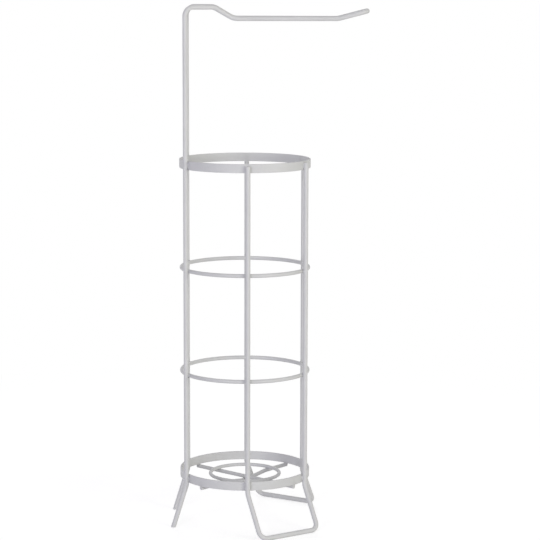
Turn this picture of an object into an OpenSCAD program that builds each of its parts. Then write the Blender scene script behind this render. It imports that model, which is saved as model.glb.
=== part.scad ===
// Freestanding holder for toilet rolls: a welded wire cage that stores spare rolls, with a roll arm above it.
// The cage axis is the Z axis, the floor is z = 0 and the arm reaches out along +X.

/* [Wire] */
// Diameter of the wire of the posts, the roll arm and the feet
post_wire_d = 5.5; // [4.5:0.1:6.5]
// Diameter of the wire of the two middle rings and the two crossed base wires
ring_wire_d = 4.5; // [3.5:0.1:5.5]
// Diameter of the wire of the small ring on the base
base_ring_wire_d = 4; // [3:0.1:5]
// Extra diameter of a wire in its bends, where the bending tool squeezes it
bend_swell = 0.1; // [0.06:0.02:0.2]
// Chamfer on the cut top ends of the posts
end_chamfer = 0.6; // [0.3:0.1:1]

/* [Cage] */
// Outer diameter of the rings and bands
cage_d = 150; // [135:1:170]
// Distance from one ring to the next
ring_pitch = 120; // [90:1:140]
// Height of the top and bottom bands
band_h = 10; // [7:0.5:14]
// Thickness of the top and bottom bands
band_t = 2; // [1.6:0.1:3]
// Radius on the edges of the bands
band_edge_r = 0.5; // [0.4:0.1:0.7]
// Angle between the two posts of one wire, seen from the cage axis
post_span = 60; // [52:1:68]
// Angle between the roll arm and each of the two foot wires, seen from the cage axis
foot_turn = 58; // [56:1:62]
// Distance that the cut post ends stay below the top edge of the top band
post_end_drop = 2; // [1:0.5:4]

/* [Base] */
// Height of the lower edge of the bottom band above the floor
foot_h = 52; // [42:1:70]
// Lean of the two foot loops away from the cage
foot_lean = 31; // [20:1:36]
// Lean of the two legs under the roll arm
leg_lean = 17; // [8:1:24]
// Radius of the bends at the top of the legs, on the wire's centre line
leg_bend_r = 12; // [9:1:15]
// Radius of the bends from the legs to the foot bars, on the wire's centre line
foot_bend_r = 9; // [7:1:14]
// Angle between the roll arm and the lower one of the crossed wires, seen from the cage axis
cross_angle = 48; // [43:1:50]
// Length of the crossed wires' ends past the outside of the bottom band
cross_overhang = 0; // [-0.5:0.5:3]
// Radius of the small ring on the base, on the wire's centre line
base_ring_r = 40; // [30:1:50]

/* [Roll arm] */
// Height of the arm's shoulder above the middle of the top band
shoulder_rise = 176; // [150:1:200]
// Length of the level shoulder
shoulder_l = 32; // [26:1:40]
// Length of the ramp from the shoulder down to the roll seat
ramp_l = 22; // [18:1:32]
// Drop from the shoulder to the roll seat
seat_drop = 12.8; // [8:0.2:16]
// Length of the seat that a roll hangs on
seat_l = 118; // [100:1:130]
// Length of the upturned tip
tip_l = 33; // [28:1:45]
// Rise of the upturned tip
tip_rise = 8.6; // [6:0.2:14]
// Distance between the two wires at the start of the roll seat
seat_w = 34; // [26:1:36]
// Distance between the two wires at the tip
tip_w = 17; // [15:0.5:20]
// Radius of the bend at the top of the posts, on the wire's centre line
shoulder_bend_r = 10; // [8:0.5:13]
// Radius of the bends of the ramp and the tip, on the wire's centre line
arm_bend_r = 16; // [12:1:20]

/* [Welds] */
// Depth that two wires sink into each other where they are welded
weld_sink = 0.3; // [0.2:0.05:0.4]
// Radius of the weld beads between the posts and the bands
bead_r = 1; // [0.9:0.05:1.2]
// Radius of the weld collars between the posts and the two middle rings
post_collar_r = 1.95; // [1.9:0.05:2]
// Radius of the weld collars of the base wires
base_collar_r = 1.8; // [1.7:0.05:1.9]

/* [Hidden] */

// Facets of a wire, a whole ring, a small collar and a band's rounded edge where they are drawn as meshes
$fn = 72;
ring_fn = 360;
collar_fn = 180;
edge_fn = 24;
coat = [0.84, 0.84, 0.84];
weld_coat = [0.8, 0.8, 0.8];

// Directions of the arm wire's posts and the two foot wires from the cage axis
arm_side = 180;
front_side = 360 - foot_turn;
rear_side = foot_turn;
sides = [arm_side, front_side, rear_side];
post_angles = [for (s = sides, turn = [-1, 1]) s + turn * post_span / 2];

// Heights of the bands and rings, at their middles
bottom_z = foot_h + band_h / 2;
lower_ring_z = bottom_z + ring_pitch;
upper_ring_z = lower_ring_z + ring_pitch;
top_z = upper_ring_z + ring_pitch;

// Place of the posts, which are welded to the outside of the rings
cage_r = cage_d / 2;
post_r = cage_r + post_wire_d / 2 - weld_sink;
post_out = post_r * cos(post_span / 2);
post_across = post_r * sin(post_span / 2);
post_top = top_z + band_h / 2 - post_end_drop;
ring_r = cage_r - ring_wire_d / 2;

// The crossed wires, the low one dipping under the high one in the middle
cross_turns = [cross_angle, cross_angle - 90];
cross_reach = cage_r + cross_overhang;
cross_z = foot_h - ring_wire_d / 2 + weld_sink;
cross_dip = ring_wire_d - weld_sink;
dip_start = base_ring_r - base_ring_wire_d;
dip_flat = ring_wire_d;
dip_bend_r = 18;
base_ring_z = cross_z + ring_wire_d / 2 + base_ring_wire_d / 2 - weld_sink;

// Straight length between the two bends of the arm's tip
tip_flat = 1;
// Parts of a weld bead's radius that its middle stands out from the band and in from the post's side
bead_out = 0.33;
bead_in = 0.6;

// Reach of a cutting tool past the face that it cuts
past = 1;
// Overlap of a straight length with the bend at its end
lap = 0.4;

// Vector arithmetic for the bent wires
function unit(v) = v / norm(v);
function turn_angle(a, b, c) = acos(max(-1, min(1, unit(b - a) * unit(c - b))));
function mirror_y(points) = [for (i = [len(points) - 1 : -1 : 0]) [points[i].x, -points[i].y, points[i].z]];
function reversed(list) = [for (i = [len(list) - 1 : -1 : 0]) list[i]];

// Length that the bend at corner i takes from each of its two sides
function bend_trim(p, r, i) =
    i == 0 || i == len(p) - 1 ? 0 : r[i] * tan(turn_angle(p[i - 1], p[i], p[i + 1]) / 2) - lap;

// Straight round wire from point a to point b
module straight_wire(a, b, d) {
    v = b - a;
    translate(a)
        rotate([0, acos(v.z / norm(v)), atan2(v.y, v.x)])
            cylinder(h = norm(v), d = d);
}

// Bend of radius r at corner b of the path a, b, c
module wire_bend(a, b, c, r, d) {
    along = unit(b - a);
    next = unit(c - b);
    angle = turn_angle(a, b, c);
    centre = b + unit(next - along) * r / cos(angle / 2);
    start = unit(b - along * r * tan(angle / 2) - centre);
    axis = cross(start, along);
    multmatrix([
        [start.x, along.x, axis.x, centre.x],
        [start.y, along.y, axis.y, centre.y],
        [start.z, along.z, axis.z, centre.z],
        [0, 0, 0, 1]
    ])
        rotate_extrude(angle = angle)
            translate([r, 0])
                circle(d = d);
}

// Round wire along the corners in points, with the bend radius radii[i] at corner i
module bent_wire(points, radii, d) {
    last = len(points) - 1;
    for (i = [0 : last - 1]) {
        along = unit(points[i + 1] - points[i]);
        straight_wire(
            points[i] + along * bend_trim(points, radii, i),
            points[i + 1] - along * bend_trim(points, radii, i + 1),
            d
        );
    }
    for (i = [1 : last - 1])
        wire_bend(points[i - 1], points[i], points[i + 1], radii[i], d + bend_swell);
}

// Tool that chamfers the top end of an upright wire of diameter d at height 0
module end_cutter(d) {
    difference() {
        translate([0, 0, -end_chamfer - past])
            cylinder(h = end_chamfer + 2 * past, d = d + 2 * past);
        translate([0, 0, -end_chamfer - 2 * past])
            cylinder(h = end_chamfer + 4 * past, r1 = d / 2 + 2 * past, r2 = d / 2 - end_chamfer - 2 * past);
    }
}

// Plain upright cylinder the size of a post, to cut what is welded to the post at height z
module post_cutter(z) {
    translate([post_r, 0, z - band_h])
        cylinder(h = 2 * band_h, d = post_wire_d);
}

module post_cutters(z) {
    for (a = post_angles)
        rotate(a)
            post_cutter(z);
}

// Flat band on edge, before the posts are welded on
module plain_band(z) {
    translate([0, 0, z])
        rotate_extrude($fn = ring_fn)
            translate([cage_r - band_t / 2, 0])
                band_section($fn = edge_fn);
}

module band_section() {
    square([band_t - 2 * band_edge_r, band_h], center = true);
    square([band_t, band_h - 2 * band_edge_r], center = true);
    for (x = [-1, 1], y = [-1, 1])
        translate([x * (band_t / 2 - band_edge_r), y * (band_h / 2 - band_edge_r)])
            circle(r = band_edge_r);
}

module wire_ring(z, r, d) {
    translate([0, 0, z])
        rotate_extrude($fn = ring_fn)
            translate([r, 0])
                circle(d = d);
}

// Corners of one half of the arm wire, from the leg under the front post to the tip
leg_bend_z = foot_h - leg_bend_r * tan(leg_lean / 2);
leg_out = (leg_bend_z + past) * tan(leg_lean);
seat_z = top_z + shoulder_rise - seat_drop;
ramp_x = -post_out + shoulder_l;
seat_x = ramp_x + ramp_l;
shoulder_w = 2 * post_across + (seat_w - 2 * post_across) * shoulder_l / (shoulder_l + ramp_l);
half_arm = [
    [-post_out - leg_out, -post_across, -past],
    [-post_out, -post_across, leg_bend_z],
    [-post_out, -post_across, top_z + shoulder_rise],
    [ramp_x, -shoulder_w / 2, top_z + shoulder_rise],
    [seat_x, -seat_w / 2, seat_z],
    [seat_x + seat_l, -tip_w / 2, seat_z],
    [seat_x + seat_l + tip_l, -tip_w / 2, seat_z + tip_rise]
];
tip_bend_r = (tip_w - tip_flat) / 2;
half_arm_radii = [0, leg_bend_r, shoulder_bend_r, arm_bend_r, arm_bend_r, arm_bend_r, tip_bend_r];

// The arm wire is one length: leg, post, arm, tip, and back down to the second leg
module arm_wire() {
    color(coat)
        difference() {
            bent_wire(
                concat(half_arm, mirror_y(half_arm)),
                concat(half_arm_radii, reversed(half_arm_radii)),
                post_wire_d
            );
            translate([-2 * cage_d, -cage_d, -foot_h])
                cube([2 * cage_d, 2 * cage_d, foot_h]);
        }
}

// Corners of one half of a foot wire that stands out along +X
foot_bend_z = foot_h - leg_bend_r * tan(foot_lean / 2);
foot_out = (foot_bend_z - post_wire_d / 2) * tan(foot_lean);
half_foot = [
    [post_out, -post_across, post_top],
    [post_out, -post_across, foot_bend_z],
    [post_out + foot_out, -post_across, post_wire_d / 2]
];
half_foot_radii = [0, leg_bend_r, foot_bend_r];

// A foot wire is two posts joined by a loop that lies on the floor
module foot_wire(side) {
    color(coat)
        rotate(side)
            difference() {
                bent_wire(
                    concat(half_foot, mirror_y(half_foot)),
                    concat(half_foot_radii, reversed(half_foot_radii)),
                    post_wire_d
                );
                for (y = [-1, 1])
                    translate([post_out, y * post_across, post_top])
                        end_cutter(post_wire_d);
            }
}

module front_foot_wire() {
    foot_wire(front_side);
}

module rear_foot_wire() {
    foot_wire(rear_side);
}

module top_band() {
    color(coat)
        difference() {
            plain_band(top_z);
            post_cutters(top_z);
        }
}

// Middle ring of the cage at height z, notched where the posts are welded on
module middle_ring(z) {
    color(coat)
        difference() {
            wire_ring(z, ring_r, ring_wire_d);
            post_cutters(z);
        }
}

module upper_ring() {
    middle_ring(upper_ring_z);
}

module lower_ring() {
    middle_ring(lower_ring_z);
}

module bottom_band() {
    color(coat)
        difference() {
            plain_band(bottom_z);
            post_cutters(bottom_z);
            cross_cutters();
        }
}

// Straight wire across the cage, under the bottom band
module plain_cross_wire() {
    translate([-cross_reach, 0, cross_z])
        rotate([0, 90, 0])
            cylinder(h = 2 * cross_reach, d = ring_wire_d);
}

// The two crossed wires before the low one is bent, to cut what is welded to their ends
module cross_cutters() {
    for (a = cross_turns)
        rotate(a)
            plain_cross_wire();
}

module cross_wire_high() {
    color(coat)
        rotate(cross_turns[1])
            plain_cross_wire();
}

// Wire across the cage that dips in the middle, along X
module dipped_cross_wire() {
    low = cross_z - cross_dip;
    bent_wire(
        [
            [-cross_reach, 0, cross_z],
            [-dip_start, 0, cross_z],
            [-dip_flat, 0, low],
            [dip_flat, 0, low],
            [dip_start, 0, cross_z],
            [cross_reach, 0, cross_z]
        ],
        [0, dip_bend_r, dip_bend_r, dip_bend_r, dip_bend_r, 0],
        ring_wire_d
    );
}

module cross_wire_low() {
    color(coat)
        difference() {
            rotate(cross_turns[0])
                dipped_cross_wire();
            rotate(cross_turns[1])
                plain_cross_wire();
        }
}

module base_ring() {
    color(coat)
        difference() {
            wire_ring(base_ring_z, base_ring_r, base_ring_wire_d);
            cross_cutters();
        }
}

// Two beads in the corners between one post and a band at height z
module post_beads(z) {
    bead_h = band_h - 2 * band_edge_r - 2 * post_end_drop;
    difference() {
        for (y = [-1, 1])
            translate([cage_r + bead_out * bead_r, y * (post_wire_d / 2 - bead_in * bead_r), z - bead_h / 2])
                cylinder(h = bead_h, r = bead_r);
        post_cutter(z);
        translate([0, 0, z - band_h])
            cylinder(h = 2 * band_h, r = cage_r, $fn = ring_fn);
    }
}

module band_welds() {
    color(weld_coat)
        for (z = [bottom_z, top_z], a = post_angles)
            rotate(a)
                post_beads(z);
}

// Collar round the place where a post crosses a ring at height z, short enough to take the ring as straight
module post_collar(z) {
    difference() {
        translate([ring_r, 0, z])
            rotate([0, 90, 0])
                cylinder(h = post_r - ring_r, r = post_collar_r);
        post_cutter(z);
        translate([ring_r, 0, z])
            rotate([90, 0, 0])
                cylinder(h = 2 * (post_collar_r + past), d = ring_wire_d, center = true);
    }
}

module ring_welds() {
    color(weld_coat)
        for (z = [lower_ring_z, upper_ring_z], a = post_angles)
            rotate(a)
                post_collar(z, $fn = collar_fn);
}

// Collar between the base ring and a crossed wire that runs along X
module base_ring_collar() {
    difference() {
        translate([base_ring_r, 0, cross_z])
            cylinder(h = base_ring_z - cross_z, r = base_collar_r);
        plain_cross_wire();
        wire_ring(base_ring_z, base_ring_r, base_ring_wire_d);
    }
}

// Collar between the bottom band and a crossed wire that runs along X
module base_band_collar() {
    difference() {
        translate([cage_r - band_t / 2, 0, cross_z])
            cylinder(h = foot_h + band_edge_r - cross_z, r = base_collar_r);
        plain_cross_wire();
        plain_band(bottom_z);
    }
}

// Collar between the two crossed wires, in the middle
module middle_collar() {
    difference() {
        translate([0, 0, cross_z - cross_dip])
            cylinder(h = cross_dip, r = base_collar_r);
        rotate(cross_turns[1])
            plain_cross_wire();
        rotate(cross_turns[0])
            translate([0, 0, -cross_dip])
                plain_cross_wire();
    }
}

module base_welds() {
    color(weld_coat) {
        for (a = concat(cross_turns, cross_turns + [180, 180]))
            rotate(a) {
                base_ring_collar();
                base_band_collar();
            }
        middle_collar();
    }
}

arm_wire();
front_foot_wire();
rear_foot_wire();
top_band();
upper_ring();
lower_ring();
bottom_band();
cross_wire_high();
cross_wire_low();
base_ring();
band_welds();
ring_welds();
base_welds();
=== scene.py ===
import math

import bpy
import numpy as np
from mathutils import Matrix, Vector


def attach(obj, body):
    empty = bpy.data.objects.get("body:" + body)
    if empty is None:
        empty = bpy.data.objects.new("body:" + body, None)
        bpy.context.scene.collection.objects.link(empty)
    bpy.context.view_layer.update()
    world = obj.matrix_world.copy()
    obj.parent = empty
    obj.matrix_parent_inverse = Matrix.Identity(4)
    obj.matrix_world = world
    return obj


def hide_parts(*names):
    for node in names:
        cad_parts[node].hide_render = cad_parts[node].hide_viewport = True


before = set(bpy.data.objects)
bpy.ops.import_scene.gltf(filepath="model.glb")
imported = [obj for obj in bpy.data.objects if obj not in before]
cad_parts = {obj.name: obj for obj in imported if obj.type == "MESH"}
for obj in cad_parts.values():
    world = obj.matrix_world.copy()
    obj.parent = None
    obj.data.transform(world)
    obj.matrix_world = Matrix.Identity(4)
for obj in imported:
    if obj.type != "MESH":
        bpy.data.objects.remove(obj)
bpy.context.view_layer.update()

# Looks of a toilet roll holder. Shapes are in millimetres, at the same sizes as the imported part, and become
# metres where a mesh is made. The cage axis is Z, the floor is z = 0, and the arm reaches out along +X.
MM = 0.001

# Radii of the wires, and the flat bar of the two bands
POST_R = 2.75
RING_R = 2.25
BASE_R = 2.0
BAND_H = 10.0
BAND_T = 2.0
BAND_EDGE = 0.5
# How far the bar's faces are crowned, and how much a wire's radius grows towards the middle of a bend
BAND_CROWN = 0.03
BEND_SWELL = 0.05
# Rounding of the cut ends: of the legs, the tops of the posts and the crossed wires
LEG_RIM = 0.4
POST_RIM = 0.6
CROSS_RIM = 0.35
# How deep a welded piece lies in the one that carries it
SINK = 0.3

# Cage
CAGE_R = 75.0
FOOT_H = 52.0
PITCH = 120.0
POST_SPAN = 60.0
POST_END_DROP = 2.0
FOOT_TURN = 58.0
SIDES = {"arm": 180.0, "front": 360.0 - FOOT_TURN, "rear": FOOT_TURN}
BOTTOM_Z = FOOT_H + BAND_H / 2
LOWER_Z = BOTTOM_Z + PITCH
UPPER_Z = LOWER_Z + PITCH
TOP_Z = UPPER_Z + PITCH
POST_AXIS = CAGE_R + POST_R - SINK
POST_OUT = POST_AXIS * math.cos(math.radians(POST_SPAN / 2))
POST_ACROSS = POST_AXIS * math.sin(math.radians(POST_SPAN / 2))
POST_TOP = TOP_Z + BAND_H / 2 - POST_END_DROP
POST_ANGLES = [s + t * POST_SPAN / 2 for s in SIDES.values() for t in (-1, 1)]

# Base
FOOT_LEAN = 31.0
LEG_LEAN = 17.0
LEG_BEND = 12.0
FOOT_BEND = 9.0
CROSS_ANGLE = 48.0
CROSS_REACH = 75.0
CROSS_Z = FOOT_H - RING_R + SINK
CROSS_DIP = 2 * RING_R - SINK
DIP_START = 36.0
DIP_FLAT = 4.5
DIP_BEND = 18.0
BASE_RING = 40.0
BASE_Z = CROSS_Z + RING_R + BASE_R - SINK

# Roll arm
ARM_RISE = 176.0
SHOULDER_L = 32.0
RAMP_L = 22.0
SEAT_DROP = 12.8
SEAT_L = 118.0
TIP_L = 33.0
TIP_RISE = 8.6
SEAT_W = 34.0
TIP_W = 17.0
TIP_BEND = 8.0
SHOULDER_BEND = 10.0
ARM_BEND = 16.0

# Beads beside the posts: radius, distance from the post's middle plane and from the band's face, and how
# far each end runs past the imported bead's, because it is blunt
POST_BEAD_R = 1.0
POST_BEAD_SIDE = 2.2
POST_BEAD_OUT = 0.3
POST_BEAD_PAST = 0.2
# Beads under the bottom band: radius, distance from the wire's middle plane, half length and depth
UNDER_BEAD_R = 0.75
UNDER_BEAD_SIDE = 1.7
UNDER_BEAD_HALF = 1.3
UNDER_BEAD_LOW = 0.25
# How far a bead's first ring is from its end, as a share of the half turn that spaces its rings, and the
# least square of a ring's width, as a share of the bead's
BEAD_INSET = 0.06
BEAD_BLUNT = 0.02
# Length of a bead's ripples, and their depth and the bead's unevenness as shares of its width
RIPPLE_L = 1.1
RIPPLE_DEPTH = 0.06
BEAD_UNEVEN = 0.02
# Welds round the crossings: radius of the loop on a post and in the base, how far its bead laps into the
# wires beside the gap that it fills, the depth and number of its ripples, and its unevenness
POST_LOOP = 1.9
BASE_LOOP = 1.6
LOOP_PROUD = 0.22
LOOP_RIPPLE = 0.04
LOOP_RIPPLES = 9
LOOP_UNEVEN = 0.012

# How finely the meshes are drawn: sides of a wire and of a bead, steps round a ring, a rim, an edge of the
# bar and a weld loop, and along a face of the bar and a bead
WIRE_SIDES = 32
BEAD_SIDES = 16
RING_STEPS = 288
RIM_STEPS = 5
EDGE_STEPS = 6
LOOP_STEPS = 40
FACE_STEPS = 9
BEAD_STEPS = 22
# Rough step along a straight wire, rough step in degrees round a bend, and the fewest steps of a bend
STRAIGHT_STEP = 6.0
BEND_STEP = 4.0
LEAST_BEND_STEPS = 4

# Camera: place, turn to the right, tilt down and roll in degrees, and focal length in pixels of the image
CAMERA_PLACE = (-17.4, -2228.0, 620.55)
CAMERA_YAW = 1.189
CAMERA_PITCH = 8.358
CAMERA_ROLL = 0.142
CAMERA_FOCAL_PX = 1958.5
IMAGE_PX = 540
SENSOR_MM = 36.0

# What the lamps point at, in metres, and the light from all around
LAMP_TARGET = (0, 0, 0.3)
AMBIENT_COLOUR = (0.99, 0.98, 1.0, 1)
AMBIENT_STRENGTH = 0.46
WHITE = (1, 1, 1, 1)

# Floor: half its side in metres, so that its far edge lies close to the horizon, and its colour
FLOOR_HALF = 250.0
FLOOR_COLOUR = (0.8, 0.8, 0.8, 1)
# Its glow close to the object, where the lamps light it too, and where it changes to plain white, in metres
FLOOR_GLOW_NEAR = 0.51
FLOOR_NEAR = 0.3
FLOOR_FAR = 0.9

# Coat: its colour, and the noises of its clouds, specks and gloss as a scale per metre and a detail
COAT = (0.655, 0.655, 0.662)
CLOUDS = (28, 3)
SPECKS = (900, 2)
GLOSS = (120, 2)
# The part of a noise's range that is used, how much the specks darken, and how the roughness varies
NOISE_LOW, NOISE_HIGH = 0.3, 0.7
SPECK_MIX = 0.35
SMOOTHER, ROUGHER = 0.05, 0.06
# The coat's two reliefs as a strength and a depth in metres, and how much finer the second is
PEEL = (0.5, 0.0002)
FINE = (0.3, 0.00005)
FINER = 5
# How far from a weld's middle the painted contact shade reaches
WELD_SHADE_REACH = 3.6

random = np.random.default_rng(7)


def unit(v):
    return v / np.linalg.norm(v)


def turned(points, degrees):
    """The points turned about the cage axis."""
    c, s = math.cos(math.radians(degrees)), math.sin(math.radians(degrees))
    return np.asarray(points, float) @ np.array([[c, s, 0], [-s, c, 0], [0, 0, 1]])


class Shape:
    """Vertices and faces of one piece, in millimetres."""

    def __init__(self):
        self.vertices = []
        self.faces = []
        self.count = 0

    def add(self, vertices, faces):
        self.vertices.append(np.asarray(vertices, float))
        self.faces += [[i + self.count for i in f] for f in faces]
        self.count += len(vertices)


def bent_path(corners, bends):
    """Centre line of a wire with a bend of the given radius at each inner corner.

    Returns its points, how deep each lies in a bend (0 to 1), and the way from each to the bend's centre.
    """
    corners = [np.array(c, float) for c in corners]
    points, depth, inward = [corners[0]], [0.0], [np.zeros(3)]

    def straight_to(end):
        start = points[-1]
        steps = max(1, int(np.linalg.norm(end - start) / STRAIGHT_STEP))
        for k in range(1, steps + 1):
            points.append(start + (end - start) * k / steps)
            depth.append(0.0)
            inward.append(np.zeros(3))

    for i in range(1, len(corners) - 1):
        before, after = unit(corners[i] - corners[i - 1]), unit(corners[i + 1] - corners[i])
        turn = math.acos(max(-1.0, min(1.0, float(before @ after))))
        first = corners[i] - before * bends[i] * math.tan(turn / 2)
        centre = corners[i] + unit(after - before) * bends[i] / math.cos(turn / 2)
        spoke = unit(first - centre)
        straight_to(first)
        steps = max(LEAST_BEND_STEPS, int(math.degrees(turn) / BEND_STEP))
        for k in range(1, steps + 1):
            a = turn * k / steps
            way = spoke * math.cos(a) + before * math.sin(a)
            points.append(centre + bends[i] * way)
            depth.append(math.sin(math.pi * k / steps))
            inward.append(-way)
    straight_to(corners[-1])
    return np.array(points), np.array(depth), np.array(inward)


def frames(points, closed, up=None):
    """Tangent and two cross directions at each point.

    With up the first cross direction keeps to it, and without it both are carried along the path.
    """
    if closed:
        tangents = np.roll(points, -1, 0) - np.roll(points, 1, 0)
    else:
        tangents = np.gradient(points, axis=0)
    tangents /= np.linalg.norm(tangents, axis=1)[:, None]
    # No wire starts in this direction
    aslant = [0.31, 0.83, 0.46]
    carried = unit(np.cross(tangents[0], aslant))
    first = []
    for t in tangents:
        reference = carried if up is None else np.asarray(up, float)
        carried = unit(reference - (reference @ t) * t)
        first.append(carried)
    first = np.array(first)
    return tangents, first, np.cross(tangents, first)


def round_section(sides):
    a = np.linspace(0, 2 * math.pi, sides, endpoint=False)
    return np.stack([np.cos(a), np.sin(a)], 1)


def skin(rings, closed):
    """Faces between the rings of a tube, and the two end caps of an open one."""
    n, m = len(rings), len(rings[0])
    faces = []
    for i in range(n if closed else n - 1):
        a, b = i * m, (i + 1) % n * m
        faces += [[a + j, a + (j + 1) % m, b + (j + 1) % m, b + j] for j in range(m)]
    if not closed:
        faces += [list(range(m))[::-1], [(n - 1) * m + j for j in range(m)]]
    return faces


def level_ring(place, tangent, around, radius, height):
    """Ring of a leaning wire that is cut level at the given height; place is on the wire's axis."""
    centre = place + tangent * (height - place[2]) / tangent[2]
    level = around - np.outer(around[:, 2] / tangent[2], tangent)
    return centre + level * radius


def wire(shape, points, radius, depth, inward, rim, level=False):
    """Round wire along an open path, a little fuller and flatter in its bends, with rounded rims.

    With level the ends are cut level with the floor, and otherwise square.
    """
    tangents, first, second = frames(points, closed=False)
    section = round_section(WIRE_SIDES)
    rings = []
    for i, p in enumerate(points):
        around = section[:, :1] * first[i] + section[:, 1:] * second[i]
        r = np.full(WIRE_SIDES, radius)
        if depth[i] > 0:
            r += BEND_SWELL * depth[i] * (1 - (around @ inward[i]) ** 2)
        rings.append(p + around * r[:, None])
    # How far the rings of an end lie from its cut, and how wide they are: a quarter round for the rim,
    # between two rings that keep its shading off the wire's side and off the flat of the cut
    quarter = np.linspace(0, math.pi / 2, RIM_STEPS)
    backs = [2 * rim, *(rim * (1 - np.sin(quarter))), 0]
    radii = [radius, *(radius - rim * (1 - np.cos(quarter))), radius - 1.5 * rim]
    ends = []
    for i, way in ((0, -1), (-1, 1)):
        around = section[:, :1] * first[i] + section[:, 1:] * second[i]
        end = []
        for back, r in zip(backs, radii):
            if level:
                end.append(level_ring(points[i], tangents[i], around, r, back))
            else:
                end.append(points[i] - way * tangents[i] * back + around * r)
        rings[i] = end[0]
        ends.append(end[1:])
    rings = ends[0][::-1] + rings + ends[1]
    shape.add(np.concatenate(rings), skin(rings, closed=False))


def hoop(shape, radius, z, section):
    """Ring round the cage axis; in its section the first number points outwards and the second up."""
    up = np.array([0, 0, 1.0])
    rings = []
    for a in np.linspace(0, 2 * math.pi, RING_STEPS, endpoint=False):
        out = np.array([math.cos(a), math.sin(a), 0])
        rings.append(out * radius + [0, 0, z] + section[:, :1] * out + section[:, 1:] * up)
    shape.add(np.concatenate(rings), skin(rings, closed=True))


def band_section():
    """Section of the flat bar: rounded edges and slightly crowned faces."""
    half_t, half_h = BAND_T / 2, BAND_H / 2
    flat_t, flat_h = half_t - BAND_EDGE, half_h - BAND_EDGE
    points = []
    for quadrant, (x, y) in enumerate([(1, 1), (-1, 1), (-1, -1), (1, -1)]):
        for q in np.linspace(0, math.pi / 2, EDGE_STEPS):
            a = quadrant * math.pi / 2 + q
            points.append([x * flat_t + BAND_EDGE * math.cos(a), y * flat_h + BAND_EDGE * math.sin(a)])
        if quadrant % 2:
            side = 1 if quadrant == 3 else -1
            span = np.linspace(-1, 1, FACE_STEPS)[1:-1] * side
            points += [[side * (half_t + BAND_CROWN * (1 - s * s)), s * flat_h] for s in span]
    return np.array(points)


def bead(shape, start, end, radius):
    """Short weld bead from start to end, with blunt ends, ripples and an uneven width."""
    start, end = np.asarray(start, float), np.asarray(end, float)
    length = np.linalg.norm(end - start)
    t = (1 - np.cos(np.linspace(BEAD_INSET, 1 - BEAD_INSET, BEAD_STEPS) * math.pi)) / 2
    points = start + (end - start) * t[:, None]
    from_end = np.minimum(t, 1 - t) * length
    blunt = np.sqrt(np.clip(1 - (1 - np.clip(from_end / radius, 0, 1)) ** 2, BEAD_BLUNT, 1))
    phase = random.uniform(0, 2 * math.pi)
    ripples = RIPPLE_DEPTH * np.sin(2 * math.pi * t * length / RIPPLE_L + phase)
    width = blunt * (1 + ripples + random.normal(0, BEAD_UNEVEN, len(t)))
    _, first, second = frames(points, closed=False)
    section = round_section(BEAD_SIDES)
    rings = []
    for i, p in enumerate(points):
        rings.append(p + (section[:, :1] * first[i] + section[:, 1:] * second[i]) * radius * width[i])
    shape.add(np.concatenate(rings), skin(rings, closed=False))


def crossing_bead(shape, place, axis_a, axis_b, radius_a, radius_b, loop):
    """Weld round the place where wire b crosses over wire a at right angles; place is on wire a's axis."""
    place, axis_a, axis_b = (np.asarray(v, float) for v in (place, axis_a, axis_b))
    up = np.cross(axis_a, axis_b)
    gap = radius_a + radius_b - SINK
    points, radii = [], []
    phase = random.uniform(0, 2 * math.pi)
    for a in np.linspace(0, 2 * math.pi, LOOP_STEPS, endpoint=False):
        along_a, along_b = loop * math.cos(a), loop * math.sin(a)
        low = math.sqrt(radius_a**2 - along_b**2)
        high = gap - math.sqrt(radius_b**2 - along_a**2)
        points.append(place + axis_a * along_a + axis_b * along_b + up * (low + high) / 2)
        ripple = LOOP_RIPPLE * math.sin(LOOP_RIPPLES * a + phase)
        radii.append((high - low) / 2 + LOOP_PROUD + ripple + random.normal(0, LOOP_UNEVEN))
    points = np.array(points)
    _, first, second = frames(points, closed=True, up=up)
    section = round_section(BEAD_SIDES)
    rings = []
    for i, p in enumerate(points):
        rings.append(p + (section[:, :1] * first[i] + section[:, 1:] * second[i]) * radii[i])
    shape.add(np.concatenate(rings), skin(rings, closed=True))


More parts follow.
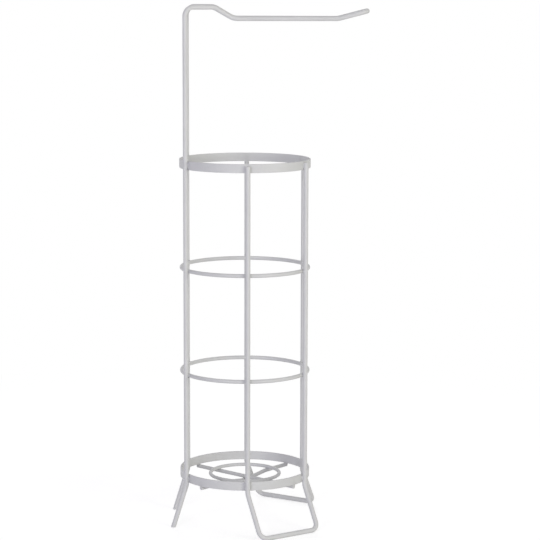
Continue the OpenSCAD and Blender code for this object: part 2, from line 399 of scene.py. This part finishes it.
def coat_material(name, colour, mottle, grain, roughness, weld_shade_tone):
    """Powder coat: soft gloss on an orange peel, faint clouds and specks, and painted contact shade, a darker
    tone round the welds where the parts meet.
    """
    material = bpy.data.materials.new(name)
    material.use_nodes = True
    nodes, links = material.node_tree.nodes, material.node_tree.links
    shader = nodes["Principled BSDF"]
    place = nodes.new("ShaderNodeTexCoord").outputs["Object"]

    def noise(scale, detail):
        node = nodes.new("ShaderNodeTexNoise")
        node.inputs["Scale"].default_value = scale
        node.inputs["Detail"].default_value = detail
        links.new(place, node.inputs["Vector"])
        return node.outputs["Fac"]

    def ranged(value, low, high):
        node = nodes.new("ShaderNodeMapRange")
        node.inputs["From Min"].default_value = NOISE_LOW
        node.inputs["From Max"].default_value = NOISE_HIGH
        node.inputs["To Min"].default_value = low
        node.inputs["To Max"].default_value = high
        links.new(value, node.inputs["Value"])
        return node.outputs["Result"]

    def mixed(factor, a, b):
        node = nodes.new("ShaderNodeMix")
        node.data_type = "RGBA"
        links.new(factor, node.inputs["Factor"])
        for socket, value in ((node.inputs["A"], a), (node.inputs["B"], b)):
            if isinstance(value, tuple):
                socket.default_value = (*value, 1)
            else:
                links.new(value, socket)
        return node.outputs["Result"]

    def relief(height, strength, depth):
        node = nodes.new("ShaderNodeBump")
        node.inputs["Strength"].default_value = strength
        node.inputs["Distance"].default_value = depth
        links.new(height, node.inputs["Height"])
        return node

    darker = tuple(c * (1 - mottle) for c in colour)
    lighter = tuple(c * (1 + mottle / 2) for c in colour)
    # Painted contact shade: the coat is darkened round the welds, where the parts meet and shade falls
    weld_shaded = tuple(c * weld_shade_tone for c in colour)
    clouded = mixed(ranged(noise(*CLOUDS), 0, 1), darker, lighter)
    speckled = mixed(ranged(noise(*SPECKS), 0, SPECK_MIX), clouded, darker)
    near = nodes.new("ShaderNodeAttribute")
    near.attribute_name = "near_weld_shade"
    links.new(mixed(near.outputs["Fac"], speckled, weld_shaded), shader.inputs["Base Color"])

    gloss = ranged(noise(*GLOSS), roughness - SMOOTHER, roughness + ROUGHER)
    links.new(gloss, shader.inputs["Roughness"])
    shader.inputs["Specular IOR Level"].default_value = 0.35
    shader.inputs["Coat Weight"].default_value = 0.06
    shader.inputs["Coat Roughness"].default_value = 0.35

    peel = relief(noise(grain, detail=1), *PEEL)
    fine = relief(noise(grain * FINER, detail=2), *FINE)
    links.new(peel.outputs["Normal"], fine.inputs["Normal"])
    links.new(fine.outputs["Normal"], shader.inputs["Normal"])
    return material


def weld_places():
    """Middles of all the welds, for the painted contact shade of the coat around them."""
    places = []
    for a in POST_ANGLES:
        for z in (BOTTOM_Z, LOWER_Z, UPPER_Z, TOP_Z):
            places.append(turned([CAGE_R, 0, z], a))
    for quarter in range(4):
        a = CROSS_ANGLE + 90 * quarter
        places.append(turned([BASE_RING, 0, CROSS_Z + RING_R], a))
        places.append(turned([CAGE_R - BAND_T / 2, 0, FOOT_H], a))
    places.append(np.array([0, 0, CROSS_Z - CROSS_DIP / 2]))
    return np.array(places)


WELDS = weld_places()


def piece(name, shape, material, slot, *nodes):
    """Mesh object in metres that rides on the frame and stands for the named nodes."""
    vertices = np.concatenate(shape.vertices)
    mesh = bpy.data.meshes.new(name)
    mesh.from_pydata(vertices * MM, [], shape.faces)
    mesh.validate()
    # Mask of the painted contact shade: 1 at a weld's middle, fading with the distance from it
    distance = np.min(np.linalg.norm(vertices[:, None] - WELDS[None], axis=2), axis=1)
    near = np.exp(-((distance / WELD_SHADE_REACH) ** 2)).astype(np.float32)
    mesh.attributes.new("near_weld_shade", "FLOAT", "POINT").data.foreach_set("value", near)
    mesh.polygons.foreach_set("use_smooth", [True] * len(mesh.polygons))
    mesh.materials.append(material)
    made = bpy.data.objects.new(name, mesh)
    bpy.context.scene.collection.objects.link(made)
    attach(made, "root")
    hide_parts(*nodes)


def mirrored(half):
    return half + [[x, -y, z] for x, y, z in reversed(half)]


def arm_shape():
    """One length from the front leg's end to the tip of the roll seat, and back to the rear leg's end."""
    bend_z = FOOT_H - LEG_BEND * math.tan(math.radians(LEG_LEAN / 2))
    leg_out = bend_z * math.tan(math.radians(LEG_LEAN))
    ramp_x = -POST_OUT + SHOULDER_L
    seat_x = ramp_x + RAMP_L
    shoulder_z = TOP_Z + ARM_RISE
    seat_z = shoulder_z - SEAT_DROP
    shoulder_y = POST_ACROSS + (SEAT_W / 2 - POST_ACROSS) * SHOULDER_L / (SHOULDER_L + RAMP_L)
    half = [
        [-POST_OUT - leg_out, -POST_ACROSS, 0],
        [-POST_OUT, -POST_ACROSS, bend_z],
        [-POST_OUT, -POST_ACROSS, shoulder_z],
        [ramp_x, -shoulder_y, shoulder_z],
        [seat_x, -SEAT_W / 2, seat_z],
        [seat_x + SEAT_L, -TIP_W / 2, seat_z],
        [seat_x + SEAT_L + TIP_L, -TIP_W / 2, seat_z + TIP_RISE],
    ]
    bends = [0, LEG_BEND, SHOULDER_BEND, ARM_BEND, ARM_BEND, ARM_BEND, TIP_BEND]
    points, depth, inward = bent_path(mirrored(half), bends + bends[::-1])
    shape = Shape()
    wire(shape, points, POST_R, depth, inward, rim=LEG_RIM, level=True)
    return shape


def foot_shape(side):
    """Two posts and the foot loop that joins them."""
    bend_z = FOOT_H - LEG_BEND * math.tan(math.radians(FOOT_LEAN / 2))
    foot_out = (bend_z - POST_R) * math.tan(math.radians(FOOT_LEAN))
    half = [
        [POST_OUT, -POST_ACROSS, POST_TOP],
        [POST_OUT, -POST_ACROSS, bend_z],
        [POST_OUT + foot_out, -POST_ACROSS, POST_R],
    ]
    bends = [0, LEG_BEND, FOOT_BEND]
    points, depth, inward = bent_path(mirrored(half), bends + bends[::-1])
    shape = Shape()
    wire(shape, turned(points, side), POST_R, depth, turned(inward, side), rim=POST_RIM)
    return shape


def ring_shape(radius, z, wire_radius):
    shape = Shape()
    hoop(shape, radius, z, round_section(WIRE_SIDES) * wire_radius)
    return shape


def band_shape(z):
    shape = Shape()
    hoop(shape, CAGE_R - BAND_T / 2, z, band_section())
    return shape


def cross_shape(angle, dipped):
    """Wire across the base, straight or with a dip in its middle that passes under the straight one."""
    if dipped:
        low = CROSS_Z - CROSS_DIP
        corners = [
            [-CROSS_REACH, 0, CROSS_Z],
            [-DIP_START, 0, CROSS_Z],
            [-DIP_FLAT, 0, low],
            [DIP_FLAT, 0, low],
            [DIP_START, 0, CROSS_Z],
            [CROSS_REACH, 0, CROSS_Z],
        ]
    else:
        corners = [[-CROSS_REACH, 0, CROSS_Z], [CROSS_REACH, 0, CROSS_Z]]
    points, depth, inward = bent_path(corners, [DIP_BEND] * len(corners))
    shape = Shape()
    wire(shape, turned(points, angle), RING_R, depth, turned(inward, angle), rim=CROSS_RIM)
    return shape


def band_weld_shape():
    """Two upright beads in the corners between each post and each band."""
    shape = Shape()
    x = CAGE_R + POST_BEAD_OUT
    half_l = (BAND_H - 2 * BAND_EDGE - 2 * POST_END_DROP) / 2 + POST_BEAD_PAST
    for z in (BOTTOM_Z, TOP_Z):
        for a in POST_ANGLES:
            for y in (-POST_BEAD_SIDE, POST_BEAD_SIDE):
                ends = [[x, y, z - half_l], [x, y, z + half_l]]
                bead(shape, *turned(ends, a), radius=POST_BEAD_R)
    return shape


def ring_weld_shape():
    """Collar-like weld at each crossing of a post with a middle ring."""
    shape = Shape()
    for z in (LOWER_Z, UPPER_Z):
        for a in POST_ANGLES:
            # Wire a is the ring, and wire b is the post
            place, along = turned([CAGE_R - RING_R, 0, z], a), turned([0, 1, 0], a)
            crossing_bead(shape, place, along, [0, 0, 1], RING_R, POST_R, POST_LOOP)
    return shape


def base_weld_shape():
    """Welds of the crossed wires: to the base ring, to the bottom band and to each other."""
    shape = Shape()
    x, z = CAGE_R - BAND_T / 2, FOOT_H - UNDER_BEAD_LOW
    for quarter in range(4):
        a = CROSS_ANGLE + 90 * quarter
        out, across = turned([1, 0, 0], a), turned([0, 1, 0], a)
        crossing_bead(shape, turned([BASE_RING, 0, CROSS_Z], a), out, across, RING_R, BASE_R, BASE_LOOP)
        for y in (-UNDER_BEAD_SIDE, UNDER_BEAD_SIDE):
            ends = [[x - UNDER_BEAD_HALF, y, z], [x + UNDER_BEAD_HALF, y, z]]
            bead(shape, *turned(ends, a), radius=UNDER_BEAD_R)
    low = np.array([0, 0, CROSS_Z - CROSS_DIP])
    ways = [turned([1, 0, 0], CROSS_ANGLE), turned([0, 1, 0], CROSS_ANGLE)]
    crossing_bead(shape, low, *ways, RING_R, RING_R, BASE_LOOP)
    return shape


def make_camera():
    yaw, pitch, roll = (math.radians(a) for a in (CAMERA_YAW, CAMERA_PITCH, CAMERA_ROLL))
    ahead = Vector((math.sin(yaw) * math.cos(pitch), math.cos(yaw) * math.cos(pitch), -math.sin(pitch)))
    level_right = Vector((math.cos(yaw), -math.sin(yaw), 0))
    level_up = level_right.cross(ahead)
    right = level_right * math.cos(roll) + level_up * math.sin(roll)
    up = level_up * math.cos(roll) - level_right * math.sin(roll)
    data = bpy.data.cameras.new("camera")
    data.sensor_width = SENSOR_MM
    data.lens = CAMERA_FOCAL_PX / IMAGE_PX * SENSOR_MM
    data.clip_start = 0.01
    data.clip_end = 2 * FLOOR_HALF
    camera = bpy.data.objects.new("camera", data)
    bpy.context.scene.collection.objects.link(camera)
    turn = Matrix((right, up, -ahead)).transposed().to_4x4()
    camera.matrix_world = Matrix.Translation(Vector(CAMERA_PLACE) * MM) @ turn
    bpy.context.scene.camera = camera


def lamp(name, place, size, power, colour):
    """Rectangular lamp that points at the object; place and size are in metres, and power in watts."""
    data = bpy.data.lights.new(name, "AREA")
    data.shape = "RECTANGLE"
    data.size, data.size_y = size
    data.energy = power
    data.color = colour
    made = bpy.data.objects.new(name, data)
    bpy.context.scene.collection.objects.link(made)
    made.location = place
    made.rotation_mode = "QUATERNION"
    made.rotation_quaternion = (Vector(LAMP_TARGET) - Vector(place)).to_track_quat("-Z", "Y")
    return made


def make_lights():
    """Two soft lamps in front, the left one cooler and the right one warmer, and a white one behind."""
    lamp("key_left", place=(-1.45, -3.1, 0.75), size=(1.2, 0.9), power=33, colour=(0.86, 0.85, 1.0))
    lamp("key_right", place=(2.4, -2.4, 0.75), size=(1.2, 0.9), power=36, colour=(1.0, 1.0, 0.85))
    rear = lamp("rear", place=(-0.5, 3.4, 0.9), size=(1.5, 1.5), power=36, colour=(1.0, 1.0, 1.0))
    # Seen from the front it would put a bright rim on every wire
    rear.visible_glossy = False


def camera_ray(nodes, links):
    """1 for the rays by which the background itself is seen, 0 for those that light the object."""
    path = nodes.new("ShaderNodeLightPath")
    total = path.outputs["Is Camera Ray"]
    for ray in ("Is Glossy Ray", "Is Transmission Ray"):
        either = nodes.new("ShaderNodeMath")
        either.operation = "MAXIMUM"
        links.new(total, either.inputs[0])
        links.new(path.outputs[ray], either.inputs[1])
        total = either.outputs[0]
    return total


def make_world():
    world = bpy.data.worlds.new("studio")
    bpy.context.scene.world = world
    world.use_nodes = True
    nodes, links = world.node_tree.nodes, world.node_tree.links
    ambient = nodes["Background"]
    ambient.inputs["Color"].default_value = AMBIENT_COLOUR
    ambient.inputs["Strength"].default_value = AMBIENT_STRENGTH
    seen = nodes.new("ShaderNodeBackground")
    seen.inputs["Color"].default_value = WHITE
    seen.inputs["Strength"].default_value = 1.0
    mix = nodes.new("ShaderNodeMixShader")
    links.new(camera_ray(nodes, links), mix.inputs["Fac"])
    links.new(ambient.outputs[0], mix.inputs[1])
    links.new(seen.outputs[0], mix.inputs[2])
    links.new(mix.outputs[0], nodes["World Output"].inputs["Surface"])


def make_floor():
    """Wide matt pale floor. To the camera it also glows, so that it is white but for the shadow."""
    half = FLOOR_HALF
    mesh = bpy.data.meshes.new("floor")
    corners = [(-half, -half, 0), (half, -half, 0), (half, half, 0), (-half, half, 0)]
    mesh.from_pydata(corners, [], [(0, 1, 2, 3)])
    floor = bpy.data.objects.new("floor", mesh)
    bpy.context.scene.collection.objects.link(floor)
    material = bpy.data.materials.new("floor")
    material.use_nodes = True
    nodes, links = material.node_tree.nodes, material.node_tree.links
    seen = camera_ray(nodes, links)

    def times(a, b):
        node = nodes.new("ShaderNodeMath")
        node.operation = "MULTIPLY"
        links.new(a, node.inputs[0])
        if isinstance(b, float):
            node.inputs[1].default_value = b
        else:
            links.new(b, node.inputs[1])
        return node.outputs[0]

    near = nodes["Principled BSDF"]
    near.inputs["Base Color"].default_value = FLOOR_COLOUR
    near.inputs["Roughness"].default_value = 0.9
    near.inputs["Specular IOR Level"].default_value = 0.1
    near.inputs["Emission Color"].default_value = WHITE
    links.new(times(seen, FLOOR_GLOW_NEAR), near.inputs["Emission Strength"])
    # Away from the object the camera sees plain white, because the lamps light the floor there unevenly
    far = nodes.new("ShaderNodeEmission")
    distance = nodes.new("ShaderNodeVectorMath")
    distance.operation = "LENGTH"
    links.new(nodes.new("ShaderNodeTexCoord").outputs["Object"], distance.inputs[0])
    away = nodes.new("ShaderNodeMapRange")
    away.interpolation_type = "SMOOTHSTEP"
    away.inputs["From Min"].default_value = FLOOR_NEAR
    away.inputs["From Max"].default_value = FLOOR_FAR
    links.new(distance.outputs["Value"], away.inputs["Value"])
    mix = nodes.new("ShaderNodeMixShader")
    links.new(times(seen, away.outputs["Result"]), mix.inputs["Fac"])
    links.new(near.outputs[0], mix.inputs[1])
    links.new(far.outputs[0], mix.inputs[2])
    links.new(mix.outputs[0], nodes["Material Output"].inputs["Surface"])
    mesh.materials.append(material)


def coat(kind, tone, mottle, grain, roughness, weld_shade_tone):
    """Coat of one kind of piece, a little darker than the wires by its tone."""
    colour = tuple(c * tone for c in COAT)
    return coat_material(f"{kind}_powder_coat", colour, mottle, grain, roughness, weld_shade_tone)


def make_object():
    # The last factor of each coat is the painted contact shade that darkens it round the welds
    wire_coat = coat("wire", 1.0, mottle=0.04, grain=800, roughness=0.42, weld_shade_tone=0.9)
    band_coat = coat("band", 0.985, mottle=0.045, grain=650, roughness=0.46, weld_shade_tone=0.88)
    weld_coat = coat("weld", 0.93, mottle=0.05, grain=1100, roughness=0.5, weld_shade_tone=0.92)
    piece("arm", arm_shape(), wire_coat, "wire_coat", "arm_wire")
    piece("front_foot", foot_shape(SIDES["front"]), wire_coat, "wire_coat", "front_foot_wire")
    piece("rear_foot", foot_shape(SIDES["rear"]), wire_coat, "wire_coat", "rear_foot_wire")
    piece("band_top", band_shape(TOP_Z), band_coat, "band_coat", "top_band")
    piece("band_bottom", band_shape(BOTTOM_Z), band_coat, "band_coat", "bottom_band")
    ring = CAGE_R - RING_R
    piece("ring_upper", ring_shape(ring, UPPER_Z, RING_R), wire_coat, "wire_coat", "upper_ring")
    piece("ring_lower", ring_shape(ring, LOWER_Z, RING_R), wire_coat, "wire_coat", "lower_ring")
    piece("ring_base", ring_shape(BASE_RING, BASE_Z, BASE_R), wire_coat, "wire_coat", "base_ring")
    piece("cross_high", cross_shape(CROSS_ANGLE - 90, False), wire_coat, "wire_coat", "cross_wire_high")
    piece("cross_low", cross_shape(CROSS_ANGLE, True), wire_coat, "wire_coat", "cross_wire_low")
    piece("welds_band", band_weld_shape(), weld_coat, "weld_coat", "band_welds")
    piece("welds_ring", ring_weld_shape(), weld_coat, "weld_coat", "ring_welds")
    piece("welds_base", base_weld_shape(), weld_coat, "weld_coat", "base_welds")


make_camera()
make_world()
make_lights()
make_floor()
make_object()
bpy.context.scene.view_settings.view_transform = "Standard"
